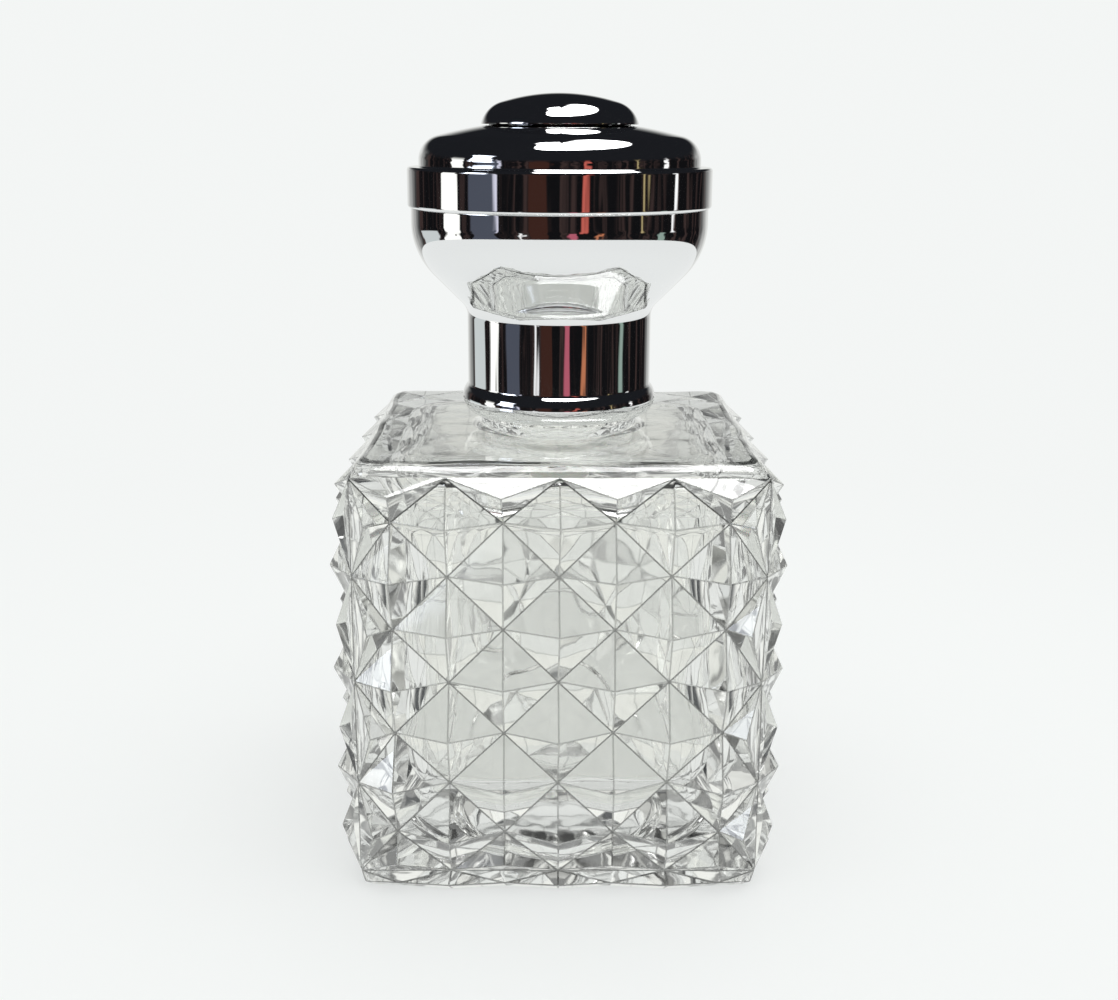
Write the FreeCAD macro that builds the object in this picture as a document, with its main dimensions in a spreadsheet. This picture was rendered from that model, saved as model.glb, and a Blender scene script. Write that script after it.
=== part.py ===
"""Square aftershave bottle in diamond-point glass, with a plated screw cap topped by a domed knob.

The frame has +Z up, its origin at the centre of the base, and the bottle's faces square to X and Y.
All sizes are in millimetres. The bottle is one piece of glass with a threaded neck. A pour insert
is pressed into the neck. The cap is a bowl-shaped shell on a straight skirt, closed by a banded lid
with a screwed-on knob. A threaded closure in the skirt holds a two-piece liner against the mouth.
"""

import FreeCAD, Part
import Sketcher
import itertools
import math
import os
import re

from FreeCAD import Vector

# Driving dimensions ----------------------------------------------------------------------------

DIMENSIONS = {
    "tool_overlap": 1.0,         # how far joining and cutting solids run past each other
    # glass body
    "body_width": 63.0,          # across the valleys of two opposite faces
    "pattern_height": 64.6,      # from the lowest to the highest valley points of a face
    "edge_column_share": 0.7,    # width of a face's outermost half cell, in half cells
    "edge_row_share": 0.8,       # height of a face's top and bottom half cell, in half cells
    "relief": 4.2,               # height of a full diamond point over its valleys
    "edge_relief": 3.1,          # height of the half diamonds along a face's edges
    "edge_point_inset": 2.4,     # from a face's edge to the tip of its half diamonds
    "foot_height": 3.3,          # plain band below the diamonds
    "foot_flare": 0.9,           # how far the foot swells between diamond points
    "foot_chamfer": 1.0,         # bottom edge of the foot
    "shoulder_height": 2.2,      # plain band above the diamonds
    "shoulder_radius": 2.1,
    "base_rim": 8.5,             # from the valleys to the recess under the base
    "base_recess_depth": 1.0,
    # cavity
    "wall": 5.0,                 # from the valleys to the cavity
    "floor_thickness": 13.0,
    "roof_thickness": 5.5,
    "cavity_corner_radius": 9.0,
    "cavity_rim_radius": 5.0,
    # neck
    "finish_radius": 10.85,      # under the thread
    "neck_wall": 2.65,
    "neck_root_step": 1.75,      # how far the neck's root stands out from the finish
    "neck_root_height": 2.8,
    "mouth_height": 15.4,        # from the shoulder to the glass lip
    "thread_pitch": 3.175,
    "thread_turns": 1.0,
    "thread_depth": 1.1,
    "thread_root_width": 1.2,
    "thread_crest_width": 0.6,
    "thread_root_sink": 0.3,     # how far a thread's root sinks into its wall
    "thread_drop": 4.0,          # from the lip down to the upper end of the neck's thread
    "thread_clearance": 0.1,     # radial, between a thread's crest and the opposite wall
    "thread_seat_gap": 0.05,     # between the two threads' flanks at their fullest
    # pour insert
    "insert_fit": 0.05,
    "insert_wall": 1.1,
    "insert_length": 7.0,
    "insert_flange_inset": 1.05,
    "insert_flange_thickness": 0.6,
    "orifice_radius": 3.2,
    # liner
    "liner_face_thickness": 0.5,
    "liner_wad_thickness": 1.2,
    "liner_fit": 0.2,
    # closure
    "closure_wall": 1.9,
    "closure_fit": 0.05,
    "closure_recess": 1.6,       # from the cap's lowest edge to the closure
    "closure_top": 1.5,
    "closure_head": 1.8,         # from the closure's top to the ledge it hangs on
    "closure_flange_reach": 1.05,
    "closure_flange_thickness": 1.2,
    # cap shell
    "shell_wall": 1.2,
    "skirt_gap": 2.3,            # from the shoulder to the lowest edge of the cap
    "bead_stand": 0.9,           # how far the rolled bead stands out from the skirt
    "bead_foot_inset": 0.5,      # how far the bead tucks in at its foot
    "bead_height": 4.6,
    "bead_curve": 2.9,
    "bowl_blend": 3.0,           # concave radius between skirt and bowl
    "bowl_radius": 24.2,
    "bowl_arc": 12.0,            # radius of the bowl's rounded side
    "bowl_rim_land": 2.3,        # straight part under the lid
    # lid
    "band_stand": 0.5,           # how far the band stands out from the bowl
    "band_height": 6.4,
    "band_edge_radius": 0.5,
    "lip_depth": 2.0,
    "lip_fit": 0.02,
    "dome_step": 1.9,            # from the band's side in to the dome's
    "dome_wall_height": 1.0,
    "dome_edge_radius": 4.0,
    "crown_radius": 78.0,
    # knob
    "knob_radius": 12.75,
    "knob_height": 4.9,
    "knob_crown_radius": 32.0,
    "knob_crown_reach": 9.5,     # how far out the crown goes before the edge turns down
    "knob_edge_radius": 4.8,
    "knob_wall": 1.4,
    "knob_hollow_depth": 1.3,
    "knob_boss_radius": 3.0,
    "knob_boss_fit": 0.1,
    "knob_shadow_gap": 0.15,     # between the knob's edge and the dome
    "collar_inset": 1.35,        # from the knob's edge in to its collar
    "seat_margin": 0.6,          # from the collar out to the rim of its seat
    "seat_depth": 0.3,
    "screw_radius": 1.45,
    "screw_pilot_fit": 0.05,
    "screw_cover": 1.65,         # metal left over the screw's tip
    "pilot_tail": 0.3,
    "screw_head_radius": 2.8,
    "screw_head_height": 1.6,
    "screw_slot_width": 0.8,
    "screw_slot_depth": 0.9,
    "washer_radius": 4.5,
    "washer_fit": 0.2,
    "washer_thickness": 0.6,
}

# Values worked out from the driving ones, as sheet formulas.
DERIVED = {
    # glass
    "pattern_bottom": "foot_height",
    "pattern_top": "foot_height + pattern_height",
    "shoulder": "Derived.pattern_top + shoulder_height",
    "base_recess_radius": "body_width / 2 - base_rim",
    "cavity_width": "body_width - 2 * wall",
    "cavity_floor": "floor_thickness",
    "cavity_height": "Derived.shoulder - roof_thickness - floor_thickness",
    "mouth": "Derived.shoulder + mouth_height",
    "bore_radius": "finish_radius - neck_wall",
    "bore_length": "roof_thickness + mouth_height + 2 * tool_overlap",
    "bore_bottom": "Derived.shoulder - roof_thickness - tool_overlap",
    "neck_bottom": "Derived.shoulder - tool_overlap",
    "neck_root_radius": "finish_radius + neck_root_step",
    "neck_root_top": "Derived.shoulder + neck_root_height",
    # threads
    "thread_rise": "thread_pitch * thread_turns",
    "neck_thread_start": "Derived.mouth - thread_drop - Derived.thread_rise",
    "closure_thread_start": "Derived.neck_thread_start - thread_seat_gap"
                            " - (thread_root_width + thread_crest_width) / 2",
    # pour insert
    "insert_radius": "Derived.bore_radius - insert_fit",
    "insert_inner_radius": "Derived.insert_radius - insert_wall",
    "insert_flange_radius": "finish_radius - insert_flange_inset",
    "insert_top": "Derived.mouth + insert_flange_thickness",
    "insert_bottom": "Derived.mouth - insert_length",
    "insert_dish": "Derived.insert_bottom + insert_wall",
    # closure
    "closure_bore": "finish_radius + thread_depth + thread_clearance",
    "closure_radius": "Derived.closure_bore + closure_wall",
    "closure_bottom": "Derived.cap_bottom + closure_recess",
    "closure_ceiling": "Derived.liner_wad_top",
    "closure_roof": "Derived.closure_ceiling + closure_top",
    "closure_flange_radius": "Derived.closure_radius + closure_flange_reach",
    "closure_flange_top": "Derived.ledge + closure_flange_thickness",
    # liner
    "liner_radius": "Derived.closure_bore - liner_fit",
    "liner_wad_bottom": "Derived.insert_top + liner_face_thickness",
    "liner_wad_top": "Derived.liner_wad_bottom + liner_wad_thickness",
    # cap shell, from the skirt up to the rim of the bowl
    "skirt_bore": "Derived.closure_radius + closure_fit",
    "skirt_radius": "Derived.skirt_bore + shell_wall",
    "cap_bottom": "Derived.shoulder + skirt_gap",
    "bead_foot_radius": "Derived.skirt_radius - bead_foot_inset",
    "bead_radius": "Derived.skirt_radius + bead_stand",
    "bead_middle": "Derived.cap_bottom + bead_height / 2",
    "bead_top": "Derived.cap_bottom + bead_height",
    "ledge": "Derived.closure_roof + closure_head",
    "ledge_radius": "Derived.closure_flange_radius + closure_fit",
    "inner_arc": "bowl_arc - shell_wall",
    "inner_radius": "bowl_radius - shell_wall",
    "inner_turn_radius": "Derived.inner_radius - Derived.inner_arc * (1 - cos(45 deg))",
    "inner_turn_height": "Derived.ledge + Derived.inner_turn_radius - Derived.ledge_radius",
    "land_bottom": "Derived.inner_turn_height + Derived.inner_arc * sin(45 deg)",
    "rim": "Derived.land_bottom + bowl_rim_land",
    "turn_radius": "bowl_radius - bowl_arc * (1 - cos(45 deg))",
    "turn_height": "Derived.land_bottom - bowl_arc * sin(45 deg)",
    "blend_top_radius": "Derived.skirt_radius + bowl_blend * (1 - cos(45 deg))",
    "blend_top": "Derived.turn_height - Derived.turn_radius + Derived.blend_top_radius",
    "blend_bottom": "Derived.blend_top - bowl_blend * sin(45 deg)",
    # lid
    "band_radius": "bowl_radius + band_stand",
    "band_foot_radius": "Derived.band_radius - band_edge_radius",
    "band_foot_edge": "Derived.rim + band_edge_radius",
    "band_top": "Derived.rim + band_height",
    "band_top_edge": "Derived.band_top - band_edge_radius",
    "lip_radius": "Derived.inner_radius - lip_fit",
    "lip_inner_radius": "Derived.lip_radius - shell_wall",
    "lip_bottom": "Derived.rim - lip_depth",
    "lid_floor": "Derived.rim + shell_wall",
    "dome_radius": "Derived.band_radius - dome_step",
    "dome_inner_radius": "Derived.dome_radius - shell_wall",
    "dome_edge_start": "Derived.band_top + dome_wall_height",
    "dome_edge_centre": "Derived.dome_radius - dome_edge_radius",
    "dome_inner_edge": "dome_edge_radius - shell_wall",
    "crown_lean": "asin(Derived.dome_edge_centre / (crown_radius - dome_edge_radius))",
    "crown_start_radius": "Derived.dome_edge_centre + dome_edge_radius * sin(Derived.crown_lean)",
    "crown_start": "Derived.dome_edge_start + dome_edge_radius * cos(Derived.crown_lean)",
    "crown_centre": "Derived.crown_start - crown_radius * cos(Derived.crown_lean)",
    "inner_crown_start_radius":
        "Derived.dome_edge_centre + Derived.dome_inner_edge * sin(Derived.crown_lean)",
    "inner_crown_start":
        "Derived.dome_edge_start + Derived.dome_inner_edge * cos(Derived.crown_lean)",
    # knob and what holds it
    "collar_radius": "knob_radius - collar_inset",
    "seat_radius": "Derived.collar_radius + seat_margin",
    "seat_rim": "Derived.crown_centre + sqrt(crown_radius^2 - Derived.seat_radius^2)",
    "seat": "Derived.seat_rim - seat_depth",
    "lid_ceiling": "Derived.seat - shell_wall",
    "lid_hole_radius": "knob_boss_radius + knob_boss_fit",
    "knob_base": "Derived.seat_rim + knob_shadow_gap",
    "knob_top": "Derived.knob_base + knob_height",
    "knob_crown_end":
        "Derived.knob_top - knob_crown_radius + sqrt(knob_crown_radius^2 - knob_crown_reach^2)",
    "hollow_radius": "Derived.collar_radius - knob_wall",
    "hollow_top": "Derived.knob_base + knob_hollow_depth",
    "boss_bottom": "Derived.lid_ceiling + knob_boss_fit",
    "pilot_radius": "screw_radius + screw_pilot_fit",
    "screw_seat": "Derived.lid_ceiling - washer_thickness",
    "screw_tip": "Derived.knob_top - screw_cover",
    "pilot_top": "Derived.screw_tip + pilot_tail",
    "screw_head_bottom": "Derived.screw_seat - screw_head_height",
    "screw_slot_length": "2 * screw_head_radius + 2 * tool_overlap",
    "washer_hole_radius": "screw_radius + washer_fit",
}

FULL_TURN = 360.0
CELLS_ACROSS = 4                 # cells in each row and column of a face


# Document and sheets ---------------------------------------------------------------------------

def make_sheets(doc):
    """A sheet of plain driving numbers and a sheet of formulas, each cell under its own alias."""
    driving = doc.addObject("Spreadsheet::Sheet", "Dimensions")
    for row, (name, value) in enumerate(DIMENSIONS.items(), start=1):
        driving.set(f"A{row}", name)
        driving.set(f"B{row}", str(value))
        driving.setAlias(f"B{row}", name)
    doc.recompute()
    derived = doc.addObject("Spreadsheet::Sheet", "Derived")
    for row, name in enumerate(DERIVED, start=1):
        derived.set(f"A{row}", name)
        derived.setAlias(f"B{row}", name)
    for row, formula in enumerate(DERIVED.values(), start=1):
        derived.set(f"B{row}", "=" + with_sheet_names(formula))
    doc.recompute()
    return driving, derived


def with_sheet_names(formula):
    """Puts the sheet's name before each driving dimension in a formula, and takes off its own."""
    formula = re.sub(r"(?<![\w.])([a-z_]\w*)(?!\w*\()",
                     lambda found: "Dimensions." + found[1] if found[1] in DIMENSIONS else found[1],
                     formula)
    return formula.replace("Derived.", "")


class Sizes:
    """Looks a name up in either sheet, as a number or as the text of an expression."""

    def __init__(self, driving, derived):
        self.driving = driving
        self.derived = derived

    def number(self, name):
        sheet = self.driving if name in DIMENSIONS else self.derived
        value = sheet.get(name)
        return float(getattr(value, "Value", value))

    def text(self, name):
        return ("Dimensions." if name in DIMENSIONS else "Derived.") + name


# Sketch and body helpers -----------------------------------------------------------------------

def origin_plane(body, role):
    return next(feature for feature in body.Origin.OriginFeatures if feature.Role == role)


def new_body(doc, label):
    body = doc.addObject("PartDesign::Body", label)
    body.Label = label
    return body


def new_sketch(body, name, role):
    sketch = body.newObject("Sketcher::SketchObject", name)
    sketch.AttachmentSupport = [(origin_plane(body, role), "")]
    sketch.MapMode = "FlatFace"
    return sketch


def bind(sketch, constraint, text):
    index = sketch.addConstraint(constraint)
    sketch.setExpression(f"Constraints[{index}]", text)


def arc_between(start, end, radius, side):
    """An arc from start to end that bulges left of the way there, or right if side is -1.

    Also says whether the arc runs from start to end, since a sketch's arcs all run one way round.
    """
    chord = end - start
    across = Vector(-chord.y, chord.x, 0).normalize()
    sagitta_centre = math.sqrt(radius**2 - (chord.Length / 2)**2)
    centre = (start + end) * 0.5 - across * side * sagitta_centre
    angles = [math.atan2(point.y - centre.y, point.x - centre.x) for point in (start, end)]
    if side > 0:
        angles.reverse()
    if angles[1] < angles[0]:
        angles[1] += 2 * math.pi
    return Part.ArcOfCircle(Part.Circle(centre, Vector(0, 0, 1), radius), *angles), side < 0


def draw_outline(sketch, outline, sizes):
    """Draws a closed outline in a sketch, each corner and radius bound to its cell in a sheet.

    An outline is a list of (radius, height) corners. A third item, (radius, side), makes the edge
    that leaves the corner an arc. A radius of "axis" puts the corner on the axis of turning.
    """
    corners = [Vector(0 if radius == "axis" else sizes.number(radius), sizes.number(height), 0)
               for radius, height, *arc in outline]
    starts, ends = [], []
    for k, (radius, height, *arc) in enumerate(outline):
        start, end = corners[k], corners[(k + 1) % len(corners)]
        if arc:
            name, side = arc[0]
            edge, forward = arc_between(start, end, sizes.number(name), side)
            index = sketch.addGeometry(edge, False)
            bind(sketch, Sketcher.Constraint("Radius", index, sizes.number(name)), sizes.text(name))
        else:
            forward = True
            index = sketch.addGeometry(Part.LineSegment(start, end), False)
        starts.append((index, 1 if forward else 2))
        ends.append((index, 2 if forward else 1))
    for k, (radius, height, *arc) in enumerate(outline):
        point = starts[k]
        sketch.addConstraint(Sketcher.Constraint("Coincident", *ends[k - 1], *point))
        if radius == "axis":
            sketch.addConstraint(Sketcher.Constraint("PointOnObject", *point, -2))
        else:
            across = Sketcher.Constraint("DistanceX", -1, 1, *point, corners[k].x)
            bind(sketch, across, sizes.text(radius))
        up = Sketcher.Constraint("DistanceY", -1, 1, *point, corners[k].y)
        bind(sketch, up, sizes.text(height))


def draw_rectangle(sketch, length, width, sizes):
    """Draws a rectangle centred on the sketch's origin, its length along the sketch's X."""
    x, y = sizes.number(length) / 2, sizes.number(width) / 2
    corners = [Vector(-x, -y, 0), Vector(x, -y, 0), Vector(x, y, 0), Vector(-x, y, 0)]
    for k in range(4):
        sketch.addGeometry(Part.LineSegment(corners[k], corners[(k + 1) % 4]), False)
    for k in range(4):
        sketch.addConstraint(Sketcher.Constraint("Coincident", k, 2, (k + 1) % 4, 1))
        sketch.addConstraint(Sketcher.Constraint("Vertical" if k % 2 else "Horizontal", k))
    sketch.addConstraint(Sketcher.Constraint("Symmetric", 0, 1, 2, 1, -1, 1))
    bind(sketch, Sketcher.Constraint("DistanceX", 0, 1, 0, 2, 2 * x), sizes.text(length))
    bind(sketch, Sketcher.Constraint("DistanceY", 1, 1, 1, 2, 2 * y), sizes.text(width))


def turned_body(doc, label, outline, sizes):
    """A body made by turning an outline once round the Z axis."""
    body = new_body(doc, label)
    sketch = new_sketch(body, label + "_outline", "XZ_Plane")
    draw_outline(sketch, outline, sizes)
    turned = body.newObject("PartDesign::Revolution", label + "_turned")
    turned.Profile = sketch
    turned.ReferenceAxis = (sketch, ["V_Axis"])
    turned.Angle = FULL_TURN
    body.Tip = turned
    doc.recompute()
    return body


def add_thread(doc, body, wall, outward, start, sizes):
    """Adds one right-handed helical ridge to a body's round wall, standing out or in from it."""
    sketch = new_sketch(body, body.Label + "_ridge", "XZ_Plane")
    depth, sink = sizes.number("thread_depth"), sizes.number("thread_root_sink")
    root_half = sizes.number("thread_root_width") / 2
    crest_half = sizes.number("thread_crest_width") / 2
    middle = sizes.number(start)
    root = sizes.number(wall) - outward * sink
    crest = sizes.number(wall) + outward * depth
    corners = [Vector(root, middle - root_half, 0), Vector(crest, middle - crest_half, 0),
               Vector(crest, middle + crest_half, 0), Vector(root, middle + root_half, 0)]
    sign = "+" if outward > 0 else "-"
    back = "-" if outward > 0 else "+"
    root_text = f"{sizes.text(wall)} {back} Dimensions.thread_root_sink"
    crest_text = f"{sizes.text(wall)} {sign} Dimensions.thread_depth"
    places = [(root_text, "- Dimensions.thread_root_width / 2"),
              (crest_text, "- Dimensions.thread_crest_width / 2"),
              (crest_text, "+ Dimensions.thread_crest_width / 2"),
              (root_text, "+ Dimensions.thread_root_width / 2")]
    for k in range(4):
        sketch.addGeometry(Part.LineSegment(corners[k], corners[(k + 1) % 4]), False)
    for k, (across, up) in enumerate(places):
        sketch.addConstraint(Sketcher.Constraint("Coincident", (k - 1) % 4, 2, k, 1))
        bind(sketch, Sketcher.Constraint("DistanceX", -1, 1, k, 1, corners[k].x), across)
        bind(sketch, Sketcher.Constraint("DistanceY", -1, 1, k, 1, corners[k].y),
             f"{sizes.text(start)} {up}")
    plain_volume = body.Shape.Volume
    ridge = body.newObject("PartDesign::AdditiveHelix", body.Label + "_thread")
    ridge.Profile = sketch
    ridge.ReferenceAxis = (sketch, ["V_Axis"])
    ridge.Mode = "pitch-height-angle"
    ridge.setExpression("Pitch", "Dimensions.thread_pitch")
    ridge.setExpression("Height", "Derived.thread_rise")
    body.Tip = ridge
    doc.recompute()
    if body.Shape.Volume < plain_volume + depth:
        raise RuntimeError(f"{body.Label} has no thread")


def square_block(doc, label, width, height, bottom, sizes):
    """A body that is a square block centred on the Z axis, with its base at the named height."""
    body = new_body(doc, label)
    sketch = new_sketch(body, label + "_plan", "XY_Plane")
    draw_rectangle(sketch, width, width, sizes)
    pad = body.newObject("PartDesign::Pad", label + "_pad")
    pad.Profile = sketch
    pad.setExpression("Length", sizes.text(height))
    body.Tip = pad
    body.setExpression("Placement.Base.z", sizes.text(bottom))
    doc.recompute()
    return body


def round_edges(doc, body, name, radius, wanted, sizes):
    """Adds a fillet of a named radius along the edges of the body that are wanted."""
    base = body.Tip
    names = [f"Edge{k}" for k, edge in enumerate(base.Shape.Edges, start=1) if wanted(edge)]
    fillet = body.newObject("PartDesign::Fillet", name)
    fillet.Base = (base, names)
    fillet.setExpression("Radius", sizes.text(radius))
    body.Tip = fillet
    doc.recompute()


def is_upright(edge):
    return edge.BoundBox.ZLength > edge.BoundBox.XLength + edge.BoundBox.YLength


def cylinder(doc, name, radius, height, bottom, sizes):
    """A Part cylinder on the Z axis. Its base is at the named height, or on the floor."""
    made = doc.addObject("Part::Cylinder", name)
    made.setExpression("Radius", sizes.text(radius))
    made.setExpression("Height", sizes.text(height))
    if bottom:
        made.setExpression("Placement.Base.z", sizes.text(bottom))
    return made


# Glass bottle ----------------------------------------------------------------------------------

def lattice(half_length, edge_share):
    """Places of the lattice's lines along one side of a face, counted from its middle."""
    half_cell = half_length / (CELLS_ACROSS - 1 + edge_share)
    inner = [k * half_cell for k in range(1 - CELLS_ACROSS, CELLS_ACROSS)]
    return [-half_length, *inner, half_length]


def columns(sizes):
    return lattice(sizes.number("body_width") / 2, sizes.number("edge_column_share"))


def rows(sizes):
    half_height = sizes.number("pattern_height") / 2
    middle = sizes.number("pattern_bottom") + half_height
    return [middle + place for place in lattice(half_height, sizes.number("edge_row_share"))]


def face_triangles(sizes):
    """The triangles of one face's diamonds, as points (across, outward, up) seen from outside.

    Valley points lie where column plus row is even. Each full cell round an odd place is a
    four-sided point, and the cells cut by the face's edge are three-sided ones.
    """
    across, up = columns(sizes), rows(sizes)
    last = 2 * CELLS_ACROSS
    relief, edge_relief = sizes.number("relief"), sizes.number("edge_relief")
    inward = {0: sizes.number("edge_point_inset"), last: -sizes.number("edge_point_inset")}
    triangles = []
    for column, row in itertools.product(range(last + 1), repeat=2):
        if (column + row) % 2 == 0:
            continue
        ring = [(column - 1, row), (column, row - 1), (column + 1, row), (column, row + 1)]
        valleys = [Vector(across[c], 0, up[r]) for c, r in ring if 0 <= c <= last and 0 <= r <= last]
        tip = Vector(across[column], relief, up[row])
        if len(valleys) < len(ring):
            tip += Vector(inward.get(column, 0), edge_relief - relief, inward.get(row, 0))
        triangles += [(valleys[k - 1], valleys[k], tip) for k in range(len(valleys))]
    return triangles


def foot_line(offset, height, sizes):
    """One face's share of a line round the foot, which swells below the diamond valleys."""
    half_width = sizes.number("body_width") / 2
    points = []
    for k, place in enumerate(columns(sizes)):
        out = offset if k % 2 else offset + sizes.number("foot_flare")
        points.append(Vector(place * (1 + out / half_width), out, height))
    return points


def widest_line(sizes):
    return foot_line(0, sizes.number("foot_chamfer"), sizes)


def resting_line(sizes):
    return foot_line(-sizes.number("foot_chamfer"), 0, sizes)


def foot_triangles(sizes):
    """The band under one face's diamonds, down to the line that the bottle rests on."""
    across, bottom = columns(sizes), sizes.number("pattern_bottom")
    widest, resting = widest_line(sizes), resting_line(sizes)
    triangles = []
    for k in range(0, 2 * CELLS_ACROSS, 2):
        left, right = (Vector(across[place], 0, bottom) for place in (k, k + 2))
        triangles += [(left, widest[k], widest[k + 1]), (left, widest[k + 1], right),
                      (right, widest[k + 1], widest[k + 2])]
    for k in range(2 * CELLS_ACROSS):
        triangles += [(widest[k], resting[k], resting[k + 1]),
                      (widest[k], resting[k + 1], widest[k + 1])]
    return triangles


def polygon_face(points):
    return Part.Face(Part.makePolygon([*points, points[0]]))


def faceted_block(doc, sizes):
    """The glass block in its jacket of diamonds: one face's triangles, placed on all four sides."""
    half_width = sizes.number("body_width") / 2
    triangles = face_triangles(sizes) + foot_triangles(sizes)
    faces, base, top = [], [], []
    for quarter in range(4):
        turn = FreeCAD.Rotation(Vector(0, 0, 1), FULL_TURN / 4 * quarter)

        def placed(point):
            return turn.multVec(Vector(point.x, -half_width - point.y, point.z))

        faces += [polygon_face([placed(point) for point in triangle]) for triangle in triangles]
        base += [placed(point) for point in resting_line(sizes)[:-1]]
        top.append(placed(Vector(-half_width, 0, sizes.number("pattern_top"))))
    faces += [polygon_face(base), polygon_face(top)]
    shell = Part.makeShell(faces)
    shell.sewShape()
    solid = Part.makeSolid(Part.Shell(shell.Faces))
    if solid.Volume < 0:
        solid.reverse()
    block = doc.addObject("Part::Feature", "faceted_block")
    block.Shape = solid
    return block


def neck(doc, sizes):
    """The neck's root and its finish with the outside thread, still solid."""
    body = turned_body(doc, "neck", [
        ("axis", "neck_bottom"),
        ("neck_root_radius", "neck_bottom"),
        ("neck_root_radius", "neck_root_top"),
        ("finish_radius", "neck_root_top"),
        ("finish_radius", "mouth"),
        ("axis", "mouth"),
    ], sizes)
    add_thread(doc, body, "finish_radius", 1, "neck_thread_start", sizes)
    return body


def glass_bottle(doc, sizes):
    plate = square_block(doc, "shoulder_plate", "body_width", "shoulder_height", "pattern_top", sizes)
    middle = sizes.number("shoulder_height") / 2
    round_edges(doc, plate, "shoulder_rounding", "shoulder_radius",
                lambda edge: edge.BoundBox.ZMin > middle, sizes)
    outside = doc.addObject("Part::MultiFuse", "glass_outside")
    outside.Shapes = [faceted_block(doc, sizes), plate, neck(doc, sizes)]

    cavity = square_block(doc, "cavity", "cavity_width", "cavity_height", "cavity_floor", sizes)
    round_edges(doc, cavity, "cavity_corners", "cavity_corner_radius", is_upright, sizes)
    round_edges(doc, cavity, "cavity_rims", "cavity_rim_radius",
                lambda edge: not is_upright(edge), sizes)
    bore = cylinder(doc, "bore", "bore_radius", "bore_length", "bore_bottom", sizes)
    recess = cylinder(doc, "base_recess", "base_recess_radius", "base_recess_depth", None, sizes)
    inside = doc.addObject("Part::MultiFuse", "glass_inside")
    inside.Shapes = [cavity, bore, recess]

    bottle = doc.addObject("Part::Cut", "glass_bottle")
    bottle.Base = outside
    bottle.Tool = inside
    doc.recompute()
    return bottle


# Pour insert and liner -------------------------------------------------------------------------

def orifice_reducer(doc, sizes):
    """A soft plug pressed into the neck, with a floor round its pouring hole."""
    return turned_body(doc, "orifice_reducer", [
        ("insert_radius", "insert_bottom"),
        ("insert_radius", "mouth"),
        ("insert_flange_radius", "mouth"),
        ("insert_flange_radius", "insert_top"),
        ("insert_inner_radius", "insert_top"),
        ("insert_inner_radius", "insert_dish"),
        ("orifice_radius", "insert_dish"),
        ("orifice_radius", "insert_bottom"),
    ], sizes)


def disc(doc, label, radius, bottom, top, sizes):
    outline = [("axis", bottom), (radius, bottom), (radius, top), ("axis", top)]
    return turned_body(doc, label, outline, sizes)


def liner_face(doc, sizes):
    return disc(doc, "liner_face", "liner_radius", "insert_top", "liner_wad_bottom", sizes)


def liner_wad(doc, sizes):
    return disc(doc, "liner_wad", "liner_radius", "liner_wad_bottom", "liner_wad_top", sizes)


# Cap -------------------------------------------------------------------------------------------

def threaded_closure(doc, sizes):
    """The plain inner cap: a flanged cup whose one thread runs under the neck's."""
    body = turned_body(doc, "threaded_closure", [
        ("axis", "closure_ceiling"),
        ("closure_bore", "closure_ceiling"),
        ("closure_bore", "closure_bottom"),
        ("closure_radius", "closure_bottom"),
        ("closure_radius", "ledge"),
        ("closure_flange_radius", "ledge"),
        ("closure_flange_radius", "closure_flange_top"),
        ("closure_bore", "closure_flange_top"),
        ("closure_bore", "closure_roof"),
        ("axis", "closure_roof"),
    ], sizes)
    add_thread(doc, body, "closure_bore", -1, "closure_thread_start", sizes)
    return body


def cap_bowl(doc, sizes):
    """The skirt, its rolled bead and the bowl above it, as one thin shell."""
    return turned_body(doc, "cap_bowl", [
        ("skirt_bore", "cap_bottom"),
        ("bead_foot_radius", "cap_bottom", ("bead_curve", -1)),
        ("bead_radius", "bead_middle", ("bead_curve", -1)),
        ("skirt_radius", "bead_top"),
        ("skirt_radius", "blend_bottom", ("bowl_blend", 1)),
        ("blend_top_radius", "blend_top"),
        ("turn_radius", "turn_height", ("bowl_arc", -1)),
        ("bowl_radius", "land_bottom"),
        ("bowl_radius", "rim"),
        ("inner_radius", "rim"),
        ("inner_radius", "land_bottom", ("inner_arc", 1)),
        ("inner_turn_radius", "inner_turn_height"),
        ("ledge_radius", "ledge"),
        ("skirt_bore", "ledge"),
    ], sizes)


def cap_lid(doc, sizes):
    """The band and the crowned dome over it, with a lip that plugs into the bowl."""
    return turned_body(doc, "cap_lid", [
        ("lip_inner_radius", "lip_bottom"),
        ("lip_radius", "lip_bottom"),
        ("lip_radius", "rim"),
        ("band_foot_radius", "rim", ("band_edge_radius", -1)),
        ("band_radius", "band_foot_edge"),
        ("band_radius", "band_top_edge", ("band_edge_radius", -1)),
        ("band_foot_radius", "band_top"),
        ("dome_radius", "band_top"),
        ("dome_radius", "dome_edge_start", ("dome_edge_radius", -1)),
        ("crown_start_radius", "crown_start", ("crown_radius", -1)),
        ("seat_radius", "seat_rim"),
        ("seat_radius", "seat"),
        ("lid_hole_radius", "seat"),
        ("lid_hole_radius", "lid_ceiling"),
        ("seat_radius", "lid_ceiling"),
        ("inner_crown_start_radius", "inner_crown_start", ("dome_inner_edge", 1)),
        ("dome_inner_radius", "dome_edge_start"),
        ("dome_inner_radius", "lid_floor"),
        ("lip_inner_radius", "lid_floor"),
    ], sizes)


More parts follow.
